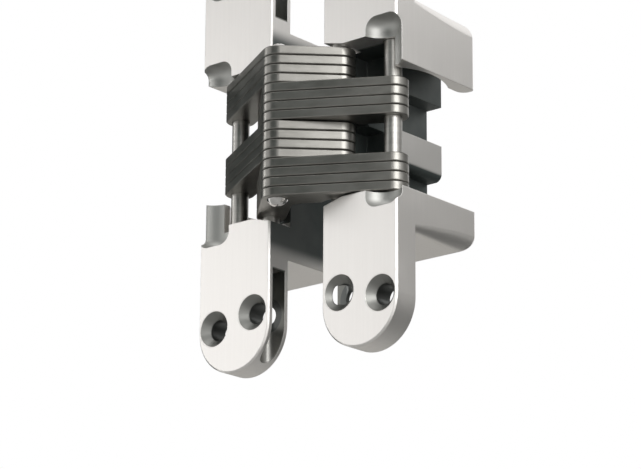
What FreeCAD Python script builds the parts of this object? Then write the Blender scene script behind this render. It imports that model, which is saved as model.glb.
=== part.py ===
import FreeCAD, Part
import math
import os

from FreeCAD import Vector

# Concealed door hinge, open at 180 degrees, in millimetres.
# +X runs from the left body to the right body, +Y into the door and the frame, +Z up.
# The face plates lie in the plane Y = 0, and the origin is midway between the two bodies.
# The right body is the left one turned half round about the Y axis.

# Face plate and body
plate_width = 19.05
plate_height = 95.25
plate_thickness = 5.8
body_gap = 14.0
body_depth = 25.6
body_half_height = 24.6
inner_wall = 2.0
face_edge_break = 0.35
side_edge_round = 0.9
rear_corner_round = 3.2

# Screw holes
screw_bore_radius = 2.15
countersink_radius = 3.75
outer_screw_inset = 4.25
inner_screw_inset = 4.45
outer_screw_height = 37.7
inner_screw_height = 35.9

# Linkage, as it lies when the hinge is open
pivot_x = 9.2
pivot_y = 3.0
centre_y = -5.6
slider_x = 20.5
slider_y = 5.9
closed_face_gap = 3.0

# Link plates and pins
plates_per_group = 4
groups = 4
plate_pitch = 2.0
plate_spacing = 0.12
centre_round = 3.3
pivot_round = 3.0
slider_round = 3.1
edge_break = 0.18
pin_radius = 1.8
running_clearance = 0.05
stop_clearance = 0.12
stop_scoop_radius = 4.6
inner_corner_round = 2.5
rivet_head_radius = 2.15
rivet_head_height = 1.3
slide_pin_half_length = 19.9
pivot_pin_half_length = 22.4

# Spaces round the links
stack_clearance = 0.22
opening_depth = pivot_y + pivot_round + 0.5
arm_pocket_x = 13.5
rib_tip_x = 17.3
rib_round = 1.6
rib_front_y = 11.6
outer_wall = 3.3
wall_end_z = 10.0
wall_rear_thin = 2.0
slot_clearance = 0.25
slot_half_height = 20.4
groove_x = 22.4
groove_y = -0.6
groove_radius = 4.3
groove_half_length = 20.0
groove_end_round = 2.6
relief_x = 12.0
relief_drop = 1.2
channel_start = 27.2
channel_clearance = 0.06
slot_stations = 9

# How far a cutter reaches past the metal, and how near counts as touching
past = 4.0
near = 0.01

inner_x = body_gap / 2
outer_x = inner_x + plate_width
mid_x = (inner_x + outer_x) / 2
tab_radius = plate_width / 2
tab_centre_z = plate_height / 2 - tab_radius
stack_half = groups * plates_per_group * plate_pitch / 2
opening_half = stack_half + stack_clearance
group_height = plates_per_group * plate_pitch


def flat_angle(a, b):
    return math.degrees(math.atan2(b[1] - a[1], b[0] - a[0]))


def turned(point, about, angle):
    c = math.cos(math.radians(angle))
    s = math.sin(math.radians(angle))
    dx = point[0] - about[0]
    dy = point[1] - about[1]
    return (about[0] + c * dx - s * dy, about[1] + s * dx + c * dy)


# The travel of the right-hand slider, seen from the right body.
# The pivot link turns by arm_turn and the folding link by centre_turn as the hinge closes.
pivot = (pivot_x, pivot_y)
centre = (0.0, centre_y)
slider = (slider_x, slider_y)
half_gap = closed_face_gap / 2
short_arm = math.hypot(pivot_x, pivot_y - centre_y)
closed_centre = (pivot_x + math.sqrt(short_arm ** 2 - (pivot_y + half_gap) ** 2), -half_gap)
arm_turn = flat_angle(pivot, closed_centre) - flat_angle(pivot, centre)
centre_turn = 180 - 2 * arm_turn
print("pivot turn", round(arm_turn, 4), "centre turn", round(centre_turn, 4),
      "ratio", round(centre_turn / arm_turn, 6))


def slider_at(share):
    centre_now = turned(centre, pivot, share * arm_turn)
    link_turn = share * (arm_turn + centre_turn)
    moved = turned(slider, centre, link_turn)
    return (centre_now[0] + moved[0] - centre[0], centre_now[1] + moved[1] - centre[1])


def box(x0, x1, y0, y1, z0, z1):
    return Part.makeBox(x1 - x0, y1 - y0, z1 - z0, Vector(x0, y0, z0))


def post(place, radius, z0, z1):
    return Part.makeCylinder(radius, z1 - z0, Vector(place[0], place[1], z0))


def prism(points, z0, z1):
    corners = [Vector(x, y, z0) for x, y in points]
    outline = Part.makePolygon(corners + corners[:1])
    return Part.Face(outline).extrude(Vector(0, 0, z1 - z0))


def arm(a, a_round, b, b_round, z0, z1):
    lean = math.degrees(math.acos((a_round - b_round) / math.dist(a, b)))
    along = flat_angle(a, b)
    corners = []
    for base, radius, side in ((a, a_round, 1), (b, b_round, 1), (b, b_round, -1), (a, a_round, -1)):
        direction = math.radians(along + side * lean)
        corners.append((base[0] + radius * math.cos(direction), base[1] + radius * math.sin(direction)))
    return prism(corners, z0, z1).fuse([post(a, a_round, z0, z1), post(b, b_round, z0, z1)])


def slot_cutter(half_width, z0, z1):
    shares = [i / (slot_stations - 1) for i in range(slot_stations)]
    track = [slider_at(s) for s in shares]
    left = []
    right = []
    for i, here in enumerate(track):
        before = slider_at(shares[i] - near)
        after = slider_at(shares[i] + near)
        run = math.dist(before, after)
        across = ((after[1] - before[1]) / run * half_width, (before[0] - after[0]) / run * half_width)
        left.append(Vector(here[0] + across[0], here[1] + across[1], z0))
        right.append(Vector(here[0] - across[0], here[1] - across[1], z0))
    sides = []
    for line in (left, list(reversed(right))):
        curve = Part.BSplineCurve()
        curve.interpolate(line)
        sides.append(curve.toShape())
    ends = [Part.makeLine(left[-1], right[-1]), Part.makeLine(right[0], left[0])]
    outline = Part.Wire([sides[0], ends[0], sides[1], ends[1]])
    run = Part.Face(outline).extrude(Vector(0, 0, z1 - z0))
    return run.fuse([post(track[0], half_width, z0, z1), post(track[-1], half_width, z0, z1)])


def long_arm_levels():
    # The folding link of the right body fills the second and fourth groups from the top.
    return [(0.0, group_height), (-2 * group_height, -group_height)]


def pivot_levels():
    return [(group_height, 2 * group_height), (-group_height, 0.0)]


def stadium(depth):
    plate = box(inner_x, outer_x, 0, depth, -tab_centre_z, tab_centre_z)
    for side in (1, -1):
        end = Part.makeCylinder(tab_radius, depth, Vector(mid_x, 0, side * tab_centre_z), Vector(0, 1, 0))
        plate = plate.fuse(end)
    return plate.removeSplitter()


def across_post(x, z, radius, depth):
    return Part.makeCylinder(radius, depth + past, Vector(x, -past, z), Vector(0, 1, 0))


def screw_cutter(x, z):
    sink_depth = countersink_radius - screw_bore_radius
    sink = Part.makeCone(countersink_radius + past, screw_bore_radius, sink_depth + past,
                         Vector(x, -past, z), Vector(0, 1, 0))
    return across_post(x, z, screw_bore_radius, plate_thickness + past).fuse(sink)


def edges_where(shape, wanted):
    return [e for e in shape.Edges if wanted(e.BoundBox)]


def body_blank():
    plate = stadium(plate_thickness)
    front = edges_where(plate, lambda b: b.YMax < near)
    plate = plate.makeChamfer(face_edge_break, front)
    block = box(inner_x, outer_x, 2 * face_edge_break, body_depth, -body_half_height, body_half_height)
    upright = edges_where(block, lambda b: b.XMin > outer_x - near and b.YMin > body_depth - near)
    block = block.makeFillet(side_edge_round, upright)
    long_edges = edges_where(block, lambda b: b.XMin > outer_x - near and b.YLength > body_depth / 2)
    block = block.makeFillet(side_edge_round, rear_corner_round, long_edges)
    return plate.fuse(block).removeSplitter()


def pocket_cutters():
    left = inner_x - past
    right = outer_x + past
    rear = body_depth + past
    lap = opening_depth - near
    wall_x = outer_x - outer_wall
    cutters = [box(left, right, -past, opening_depth, -opening_half, wall_end_z)]
    cutters.append(box(left, wall_x, -past, opening_depth, 0, opening_half))
    for z0, z1 in long_arm_levels():
        low = -opening_half if z0 < -group_height else z0 - stack_clearance
        cutters.append(box(arm_pocket_x, right, lap, rear, low, z1 + stack_clearance))
    for z0, z1 in pivot_levels():
        behind_wall = z1 > group_height
        high = opening_half if behind_wall else z1
        reach = wall_x if behind_wall else right
        cutters.append(box(inner_x + inner_wall, reach, lap, rib_front_y, z0, high))
        cutters.append(box(rib_tip_x, reach, lap, rear, z0, high))
    cutters.append(box(rib_tip_x, right, lap, rear, -opening_half, wall_end_z))
    return cutters


def groove_cutter():
    # The round-ended groove down the outer corner, where the rivet and the links lie when closed.
    groove = post((groove_x, groove_y), groove_radius, -groove_half_length, groove_half_length)
    return groove.makeFillet(groove_end_round, edges_where(groove, lambda b: b.ZLength < near))


def relief_cutter(side):
    # The slanted relief over the pivot end of the links.
    edge = side * opening_half
    left = inner_x - past
    corners = [Vector(left, -past, edge - side), Vector(relief_x, -past, edge - side),
               Vector(relief_x, -past, edge), Vector(inner_x, -past, edge + side * relief_drop),
               Vector(left, -past, edge + side * relief_drop)]
    relief = Part.Face(Part.makePolygon(corners + corners[:1]))
    return relief.extrude(Vector(0, past + opening_depth, 0))


def channel_cutter(side):
    # The pivot pin is slid in along this groove, which is open at the inner edge of the plate.
    half = pin_radius + channel_clearance
    low, high = sorted((side * channel_start, side * plate_height / 2))
    return box(inner_x - past, pivot_x, pivot_y - half, pivot_y + half, low, high)


def detail_cutters():
    cutters = [groove_cutter()]
    cutters.append(slot_cutter(pin_radius + slot_clearance, -slot_half_height, slot_half_height))
    cutters.append(post(pivot, pin_radius + channel_clearance, -plate_height / 2, plate_height / 2))
    for side in (1, -1):
        cutters.append(channel_cutter(side))
        cutters.append(relief_cutter(side))
        cutters.append(screw_cutter(outer_x - outer_screw_inset, side * outer_screw_height))
        cutters.append(screw_cutter(inner_x + inner_screw_inset, side * inner_screw_height))
    return cutters


def right_body():
    body = body_blank().cut(pocket_cutters())
    body = body.cut(detail_cutters()).removeSplitter()
    rib_under_z = stack_clearance - group_height
    rib_under = edges_where(body, lambda b: abs(b.XMin - rib_tip_x) < near and b.XLength < near
                            and b.YLength > rib_round and abs(b.ZMin - rib_under_z) < near)
    body = body.makeFillet(rib_round, rib_under)
    wall_rear = edges_where(body, lambda b: abs(b.XMin - outer_x + outer_wall) < near and b.XLength < near
                            and b.YMin > body_depth - near and b.ZLength > rib_round)
    return body.makeFillet(wall_rear_thin, wall_rear)


def half_turned(shape):
    other = shape.copy()
    other.rotate(Vector(0, 0, 0), Vector(0, 1, 0), 180)
    return other


def on_outer_side(b):
    # The rims round the elbow, along both outer edges and round the slide end.
    front = b.YMin < centre_y + edge_break
    slide_end = b.XMin < -slider_x - edge_break
    pivot_end = b.XMax > pivot_x + edge_break
    return front or slide_end or pivot_end


def right_link_plate():
    # Pivots in the right body and slides in the left one.
    far_slider = (-slider_x, slider_y)
    height = plate_pitch - plate_spacing
    plate = arm(centre, centre_round, far_slider, slider_round, 0, height)
    plate = plate.fuse(arm(centre, centre_round, pivot, pivot_round, 0, height)).removeSplitter()
    elbow = edges_where(plate, lambda b: b.ZLength > height / 2 and abs(b.XMax) < centre_round
                        and b.YMin > centre_y + pin_radius)
    plate = plate.makeFillet(inner_corner_round, elbow[:1])
    far_pivot = (-pivot_x, pivot_y)
    across = math.radians(flat_angle(far_slider, centre) + 90)
    reach = stop_scoop_radius - pin_radius - stop_clearance
    scoop = (far_pivot[0] + reach * math.cos(across), far_pivot[1] + reach * math.sin(across))
    plate = plate.cut(post(scoop, stop_scoop_radius, -past, height + past))
    rims = edges_where(plate, lambda b: b.ZLength < near and on_outer_side(b))
    plate = plate.makeChamfer(edge_break, rims)
    hole = pin_radius + running_clearance
    holes = [post(place, hole, -past, height + past) for place in (centre, pivot, far_slider)]
    return plate.cut(holes)


def rivet():
    shaft = post(centre, pin_radius, -stack_half, stack_half)
    dome_radius = (rivet_head_radius ** 2 + rivet_head_height ** 2) / (2 * rivet_head_height)
    for side in (1, -1):
        base = side * stack_half
        ball_z = base + side * (rivet_head_height - dome_radius)
        ball = Part.makeSphere(dome_radius, Vector(0, centre_y, ball_z))
        ends = sorted((base, base + side * (rivet_head_height + past)))
        head = ball.common(post(centre, rivet_head_radius + past, ends[0], ends[1]))
        shaft = shaft.fuse(head)
    return shaft.removeSplitter()


def straight_pin(place, half_length):
    pin = post(place, pin_radius, -half_length, half_length)
    return pin.makeChamfer(edge_break, edges_where(pin, lambda b: b.ZLength < near))


parts = {}
parts["right_body"] = right_body()
parts["left_body"] = half_turned(parts["right_body"])
parts["right_pivot_pin"] = straight_pin(pivot, pivot_pin_half_length)
parts["left_pivot_pin"] = half_turned(parts["right_pivot_pin"])
parts["right_slide_pin"] = straight_pin(slider, slide_pin_half_length)
parts["left_slide_pin"] = half_turned(parts["right_slide_pin"])
parts["centre_pin"] = rivet()

right_plate = right_link_plate()
left_plate = right_plate.mirror(Vector(0, 0, 0), Vector(1, 0, 0))
counts = {"right": 0, "left": 0}
for level in range(groups * plates_per_group):
    side = "right" if (level // plates_per_group) % 2 == 0 else "left"
    counts[side] += 1
    plate = (right_plate if side == "right" else left_plate).copy()
    plate.translate(Vector(0, 0, stack_half - (level + 1) * plate_pitch + plate_spacing / 2))
    parts[f"{side}_link_plate_{counts[side]}"] = plate

os.makedirs("parts", exist_ok=True)
for name, shape in parts.items():
    solid = shape.Solids[0]
    print(name, len(shape.Solids), shape.isValid(), round(shape.Volume, 1), len(shape.Faces))
    solid.exportStep(f"parts/{name}.step")
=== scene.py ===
import math

import bpy
from mathutils import Matrix, Vector

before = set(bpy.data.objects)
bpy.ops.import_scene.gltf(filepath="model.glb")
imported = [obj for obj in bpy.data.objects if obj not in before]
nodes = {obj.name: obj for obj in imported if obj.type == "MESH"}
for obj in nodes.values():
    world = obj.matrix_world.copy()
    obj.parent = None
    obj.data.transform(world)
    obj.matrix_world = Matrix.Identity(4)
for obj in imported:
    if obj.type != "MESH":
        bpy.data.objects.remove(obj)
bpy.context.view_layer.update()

print("hinge loaded:", len(nodes), "pieces")

# Camera: where the photograph was taken from
cameraView = {
    "azimuth": 40.47,        # degrees round from the front towards the right body
    "elevation": -16.93,     # looking up from a little below
    "roll": 0.34,
    "distance": 0.5509,
    "target": (0.0066, 0.0, -0.02306),
    "focalPixels": 2771.0,
    "imageWidth": 641,
    "sensorWidth": 36.0,
    "clip": (0.01, 20.0),
}


def addCamera(view):
    data = bpy.data.cameras.new("hingeCamera")
    camera = bpy.data.objects.new("hingeCamera", data)
    bpy.context.scene.collection.objects.link(camera)
    turn, lift = math.radians(view["azimuth"]), math.radians(view["elevation"])
    back = Vector((math.sin(turn) * math.cos(lift), -math.cos(turn) * math.cos(lift), math.sin(lift)))
    camera.location = Vector(view["target"]) + back * view["distance"]
    facing = (-back).to_track_quat("-Z", "Y").to_matrix().to_4x4()
    camera.rotation_euler = (facing @ Matrix.Rotation(math.radians(view["roll"]), 4, "Z")).to_euler()
    data.sensor_width = view["sensorWidth"]
    data.lens = view["focalPixels"] * view["sensorWidth"] / view["imageWidth"]
    data.clip_start, data.clip_end = view["clip"]
    bpy.context.scene.camera = camera


addCamera(cameraView)
print("camera set")


# Node helpers: each adds its nodes to the tree and gives back the socket to read
def noise(tree, place, scale, detail):
    stretch = tree.nodes.new("ShaderNodeMapping")
    stretch.inputs["Scale"].default_value = scale
    texture = tree.nodes.new("ShaderNodeTexNoise")
    texture.inputs["Scale"].default_value = 1.0
    texture.inputs["Detail"].default_value = detail
    tree.links.new(place.outputs["Object"], stretch.inputs["Vector"])
    tree.links.new(stretch.outputs["Vector"], texture.inputs["Vector"])
    return texture.outputs["Fac"]


def blend(tree, share, first, second):
    mix = tree.nodes.new("ShaderNodeMix")
    mix.data_type = "RGBA"
    tree.links.new(share, mix.inputs["Factor"])
    for socket, value in (("A", first), ("B", second)):
        if isinstance(value, tuple):
            mix.inputs[socket].default_value = (*value, 1.0)
        else:
            tree.links.new(value, mix.inputs[socket])
    return mix.outputs["Result"]


def compute(tree, operation, first, second=None):
    node = tree.nodes.new("ShaderNodeMath")
    node.operation = operation
    tree.links.new(first, node.inputs[0])
    if isinstance(second, float):
        node.inputs[1].default_value = second
    elif second is not None:
        tree.links.new(second, node.inputs[1])
    return node.outputs["Value"]


def multiply(tree, first, *others):
    product = first
    for share in others:
        product = compute(tree, "MULTIPLY", product, share)
    return product


def remap(tree, source, fromRange, toRange=(0.0, 1.0)):
    node = tree.nodes.new("ShaderNodeMapRange")
    node.interpolation_type = "SMOOTHSTEP"
    node.inputs["From Min"].default_value, node.inputs["From Max"].default_value = fromRange
    node.inputs["To Min"].default_value, node.inputs["To Max"].default_value = toRange
    tree.links.new(source, node.inputs["Value"])
    return node.outputs["Result"]


def beyond(tree, source, core):
    return compute(tree, "MAXIMUM", compute(tree, "SUBTRACT", source, core), 0.0)


def distance(tree, across, along, centre=(0.0, 0.0)):
    spot = tree.nodes.new("ShaderNodeCombineXYZ")
    tree.links.new(across, spot.inputs["X"])
    tree.links.new(along, spot.inputs["Y"])
    reach = tree.nodes.new("ShaderNodeVectorMath")
    reach.operation = "DISTANCE"
    reach.inputs[1].default_value = (*centre, 0.0)
    tree.links.new(spot.outputs["Vector"], reach.inputs[0])
    return reach.outputs["Value"]


# The two bodies mirror each other, so sideways and up are read without their signs
def bodyAxes(tree, place):
    axes = tree.nodes.new("ShaderNodeSeparateXYZ")
    tree.links.new(place.outputs["Object"], axes.inputs["Vector"])
    aside = compute(tree, "ABSOLUTE", axes.outputs["X"])
    height = compute(tree, "ABSOLUTE", axes.outputs["Z"])
    return aside, axes.outputs["Y"], height


# Lengths are in metres in each piece's own coordinates, and a pair is where a mask
# is 0 and where it is 1. The castings get painted shade inside the opening and on the side that faces the
# other body
paintedShadeCasting = {
    "colour": (0.155, 0.165, 0.16), "shade": (0.085, 0.1, 0.097), "roughness": 0.55,
    "mottle": (0.35, 0.65),
    "pocketDepth": (0.0046, 0.0056),      # painted shade behind this depth inside the opening
    "pocketHalf": (0.01632, 0.01626),
    "pocketWidth": (0.0227, 0.0225),
    "ribTip": (0.01735, 0.0172),          # a rib's end gets painted shade only beside the wing wall
    "wingStart": (0.00785, 0.00795),
    "gapSide": (0.00715, 0.00705),        # and painted shade on the side that faces the other body
    "gapHalf": (0.0249, 0.0212),
    "gapDepth": (0.0001, 0.0006),
}


# where the painted shade goes: deep in the opening, and on the side facing the other body
def paintedShadeMask(tree, axes, paintedShade):
    aside, depth, height = axes
    covered = compute(tree, "MAXIMUM", remap(tree, aside, paintedShade["ribTip"]),
                      remap(tree, height, paintedShade["wingStart"]))
    pocket = multiply(tree, remap(tree, depth, paintedShade["pocketDepth"]), remap(tree, height, paintedShade["pocketHalf"]),
                      remap(tree, aside, paintedShade["pocketWidth"]), covered)
    side = multiply(tree, remap(tree, aside, paintedShade["gapSide"]), remap(tree, height, paintedShade["gapHalf"]),
                    remap(tree, depth, paintedShade["gapDepth"]))
    return compute(tree, "MAXIMUM", pocket, side)


# The round-ended groove down each outer corner gets painted shade too, paler than the shade inside
paintedGrooveShade = {
    "axis": (0.0224, -0.0006), "core": 0.0017, "coreHalf": 0.0174,
    "skin": (0.00268, 0.00263), "colour": (0.44, 0.44, 0.42), "roughness": 0.5,
}


def grooveShadeMask(tree, axes, grooveShade):
    aside, depth, height = axes
    reach = distance(tree, aside, depth, grooveShade["axis"])
    away = distance(tree, beyond(tree, reach, grooveShade["core"]), beyond(tree, height, grooveShade["coreHalf"]))
    return remap(tree, away, grooveShade["skin"])


# and the channel that the pivot pin is slid in by gets painted shade as well, a little less at its open end
pinChannelShade = {
    "edge": 0.0092, "depth": 0.003, "skin": (0.00192, 0.00188), "start": (0.0268, 0.0271),
    "end": (0.045, 0.036), "endShare": 0.82, "colour": (0.20, 0.20, 0.185),
}


def channelShadeMask(tree, axes, channel):
    aside, depth, height = axes
    away = distance(tree, beyond(tree, aside, channel["edge"]),
                    compute(tree, "SUBTRACT", depth, channel["depth"]))
    return multiply(tree, remap(tree, away, channel["skin"]), remap(tree, height, channel["start"]),
                    remap(tree, height, channel["end"], (channel["endShare"], 1.0)))


# The screw holes get painted shade: a darker cone, and a darker bore behind it
screwHoleShade = {
    "centres": ((0.0218, 0.0377), (0.01145, 0.0359)),
    "radius": (0.00373, 0.00368), "depth": (0.00004, 0.0001), "rear": (0.00578, 0.00572),
    "coneColour": (0.26, 0.26, 0.245), "boreColour": (0.13, 0.135, 0.13),
    "boreDepth": (0.0014, 0.0018),
}


def holeShadeColour(tree, axes, colour, hole):
    aside, depth, height = axes
    outer, inner = (remap(tree, distance(tree, aside, height, centre), hole["radius"])
                    for centre in hole["centres"])
    inside = multiply(tree, compute(tree, "MAXIMUM", outer, inner),
                      remap(tree, depth, hole["depth"]), remap(tree, depth, hole["rear"]))
    paintedHoleShade = blend(tree, remap(tree, depth, hole["boreDepth"]), hole["coneColour"], hole["boreColour"])
    return blend(tree, inside, colour, paintedHoleShade)


# Metals
castMetal = {
    "colour": (0.85, 0.825, 0.795), "shade": (0.83, 0.805, 0.775),
    "metallic": 0.92, "roughness": 0.36, "roughnessSpread": 0.06,
    "grainScale": (1500.0, 1500.0, 40.0), "grainDepth": 0.006,
    "cloudScale": 55.0, "edgeRadius": 0.00022,
}
plateMetal = {
    "colour": (0.283, 0.275, 0.255), "shade": (0.24, 0.233, 0.215),
    "metallic": 0.95, "roughness": 0.31, "roughnessSpread": 0.06,
    "grainScale": (260.0, 260.0, 900.0), "grainDepth": 0.012,
    "cloudScale": 130.0, "edgeRadius": 0.00012,
}
rivetMetal = {
    "colour": (0.78, 0.77, 0.75), "shade": (0.66, 0.65, 0.63),
    "metallic": 1.0, "roughness": 0.15, "roughnessSpread": 0.06,
    "grainScale": (600.0, 600.0, 600.0), "grainDepth": 0.002,
    "cloudScale": 300.0, "edgeRadius": 0.00003,
}
pinMetal = {
    "colour": (0.45, 0.44, 0.415), "shade": (0.38, 0.37, 0.35),
    "metallic": 0.96, "roughness": 0.36, "roughnessSpread": 0.08,
    "grainScale": (90.0, 90.0, 2200.0), "grainDepth": 0.08,
    "cloudScale": 160.0, "edgeRadius": 0.0001,
}
# what all four share: how fine the noise is, and how much of it tells
metalWork = {
    "grainDetail": 3.0, "cloudDetail": 4.0, "toneRange": (0.75, 1.25), "roughRange": (0.3, 0.7),
    "bumpReach": 0.00005, "edgeSamples": 4,
}


def satinMetal(name, finish, work, paintedShade=None):
    material = bpy.data.materials.new(name)
    material.use_nodes = True
    tree = material.node_tree
    join = tree.links.new
    shader = tree.nodes["Principled BSDF"]
    shader.inputs["Metallic"].default_value = finish["metallic"]
    place = tree.nodes.new("ShaderNodeTexCoord")

    grain = noise(tree, place, finish["grainScale"], work["grainDetail"])
    cloud = noise(tree, place, (finish["cloudScale"],) * 3, work["cloudDetail"])
    tone = remap(tree, compute(tree, "ADD", grain, cloud), work["toneRange"])
    colour = blend(tree, tone, finish["shade"], finish["colour"])
    half = finish["roughnessSpread"] / 2
    rough = remap(tree, cloud, work["roughRange"], (finish["roughness"] - half, finish["roughness"] + half))
    # painted shade inside the opening, on the side facing the other body, in the corner groove, in the pin
    # channel and in the screw holes
    if paintedShade:
        axes = bodyAxes(tree, place)
        shadeShare = paintedShadeMask(tree, axes, paintedShade)
        grooveShade = grooveShadeMask(tree, axes, paintedGrooveShade)
        mottledShade = blend(tree, remap(tree, cloud, paintedShade["mottle"]), paintedShade["shade"], paintedShade["colour"])
        colour = blend(tree, shadeShare, colour, mottledShade)
        colour = blend(tree, grooveShade, colour, paintedGrooveShade["colour"])
        colour = blend(tree, channelShadeMask(tree, axes, pinChannelShade), colour, pinChannelShade["colour"])
        colour = holeShadeColour(tree, axes, colour, screwHoleShade)
        for share, value in ((shadeShare, paintedShade["roughness"]), (grooveShade, paintedGrooveShade["roughness"])):
            rougher = tree.nodes.new("ShaderNodeMix")
            rougher.inputs["B"].default_value = value
            join(share, rougher.inputs["Factor"])
            join(rough, rougher.inputs["A"])
            rough = rougher.outputs["Result"]
    join(colour, shader.inputs["Base Color"])
    join(rough, shader.inputs["Roughness"])

    softEdge = tree.nodes.new("ShaderNodeBevel")
    softEdge.samples = work["edgeSamples"]
    softEdge.inputs["Radius"].default_value = finish["edgeRadius"]
    bump = tree.nodes.new("ShaderNodeBump")
    bump.inputs["Strength"].default_value = finish["grainDepth"]
    bump.inputs["Distance"].default_value = work["bumpReach"]
    join(grain, bump.inputs["Height"])
    join(softEdge.outputs["Normal"], bump.inputs["Normal"])
    join(bump.outputs["Normal"], shader.inputs["Normal"])
    return material


castFinish = satinMetal("satinCasting", castMetal, metalWork, paintedShadeCasting)
plateFinish = satinMetal("brushedLinkPlate", plateMetal, metalWork)
pinFinish = satinMetal("turnedPin", pinMetal, metalWork)
rivetFinish = satinMetal("brightRivet", rivetMetal, metalWork)


def dress(name, piece):
    finish = pinFinish
    if name.endswith("body"):
        finish = castFinish
    elif "link_plate" in name:
        finish = plateFinish
    elif name == "centre_pin":
        finish = rivetFinish
    piece.data.materials.clear()
    piece.data.materials.append(finish)


for nodeName, node in nodes.items():
    dress(nodeName, node)
print("metals on", len(nodes), "pieces")


# Studio
studio = {
    "floorHeight": -0.30,
    "floorSize": 6.0,
    "floorColour": (0.90, 0.90, 0.89),
    "floorRoughness": 0.7,
    "floorGlow": 0.42,          # brings the floor up to the white surround where it is seen
    "white": (1.0, 1.0, 1.0, 1.0),
    "fill": 0.5,                # what the world adds where it isn't seen
    "surround": 1.0,            # and how bright it is where it is
    "boardRoughness": 0.9,
}
lamps = {
    "keyLeft": {"place": (-0.65, -0.345, 0.15), "size": (0.10, 0.30), "watts": 0.40},
    "keyAbove": {"place": (-0.20, -0.40, 0.62), "size": (0.45, 0.45), "watts": 1.2},
    "sideRight": {"place": (0.139, -0.056, 0.041), "size": (0.078, 0.12), "watts": 0.118},
}
# matt boards that keep the white surround off the metal, and show nowhere else
boards = {
    "leftBoard": {"place": (-0.56, 0.32, 0.0), "size": (1.25, 0.9), "tone": (0.020, 0.032, 0.030)},
    "frontBoard": {"place": (0.024, -0.148, 0.044), "size": (0.138, 0.15), "tone": (0.13, 0.165, 0.158)},
    "underBoard": {"place": (0.0, 0.0, -0.24), "size": (0.7, 0.6), "tone": (0.55, 0.55, 0.54)},
    "lowBoard": {"place": (0.05, 0.285, -0.155), "size": (0.60, 0.22), "tone": (0.10, 0.103, 0.098)},
    "lowLeftBoard": {"place": (-0.155, 0.215, -0.122), "size": (0.25, 0.20), "tone": (0.62, 0.61, 0.585)},
    "backBoard": {"place": (0.42, 0.50, 0.03), "size": (0.8, 0.5), "tone": (0.40, 0.40, 0.39)},
    "topBoard": {"place": (-0.34, -0.40, 0.46), "size": (0.8, 0.35), "tone": (0.25, 0.25, 0.25)},
}


def mattMaterial(name, colour, roughness):
    material = bpy.data.materials.new(name)
    material.use_nodes = True
    shader = material.node_tree.nodes["Principled BSDF"]
    shader.inputs["Base Color"].default_value = (*colour, 1.0)
    shader.inputs["Roughness"].default_value = roughness
    return material


def seenRays(tree):
    rays = tree.nodes.new("ShaderNodeLightPath")
    seen = compute(tree, "MAXIMUM", rays.outputs["Is Camera Ray"], rays.outputs["Is Glossy Ray"])
    return compute(tree, "MAXIMUM", seen, rays.outputs["Is Transmission Ray"])


def addFloor(values):
    bpy.ops.object.select_all(action="DESELECT")
    bpy.ops.mesh.primitive_plane_add(size=values["floorSize"], location=(0, 0, values["floorHeight"]))
    floor = bpy.context.object
    floor.name = "studioFloor"
    bpy.ops.object.transform_apply(location=True, rotation=True, scale=True)
    matt = mattMaterial("paleFloor", values["floorColour"], values["floorRoughness"])
    tree = matt.node_tree
    shader = tree.nodes["Principled BSDF"]
    shader.inputs["Emission Color"].default_value = values["white"]
    glow = compute(tree, "MULTIPLY", seenRays(tree), values["floorGlow"])
    tree.links.new(glow, shader.inputs["Emission Strength"])
    floor.data.materials.append(matt)


def addBoards(table, roughness):
    for name, values in table.items():
        place = Vector(values["place"])
        bpy.ops.object.select_all(action="DESELECT")
        bpy.ops.mesh.primitive_plane_add(size=1.0, location=place)
        board = bpy.context.object
        board.name = name
        board.scale = (*values["size"], 1.0)
        board.rotation_euler = place.to_track_quat("-Z", "Y").to_euler()
        bpy.ops.object.transform_apply(location=True, rotation=True, scale=True)
        board.data.materials.append(mattMaterial(name, values["tone"], roughness))
        board.visible_camera = False
        board.visible_diffuse = False
        board.visible_shadow = False


def addLamps(table):
    for name, values in table.items():
        data = bpy.data.lights.new(name, "AREA")
        data.shape = "RECTANGLE"
        data.size, data.size_y = values["size"]
        data.energy = values["watts"]
        lamp = bpy.data.objects.new(name, data)
        lamp.location = values["place"]
        towards = -Vector(values["place"])
        lamp.rotation_euler = towards.to_track_quat("-Z", "Y").to_euler()
        lamp.visible_camera = False
        bpy.context.scene.collection.objects.link(lamp)


def addSurround(values):
    world = bpy.data.worlds.new("studioWorld")
    bpy.context.scene.world = world
    world.use_nodes = True
    tree = world.node_tree
    tree.nodes.clear()
    both = tree.nodes.new("ShaderNodeMixShader")
    tree.links.new(seenRays(tree), both.inputs["Fac"])
    for socket, strength in ((1, values["fill"]), (2, values["surround"])):
        background = tree.nodes.new("ShaderNodeBackground")
        background.inputs["Color"].default_value = values["white"]
        background.inputs["Strength"].default_value = strength
        tree.links.new(background.outputs["Background"], both.inputs[socket])
    out = tree.nodes.new("ShaderNodeOutputWorld")
    tree.links.new(both.outputs["Shader"], out.inputs["Surface"])


addFloor(studio)
addBoards(boards, studio["boardRoughness"])
addLamps(lamps)
addSurround(studio)
bpy.context.scene.view_settings.view_transform = "Standard"
print("studio set")
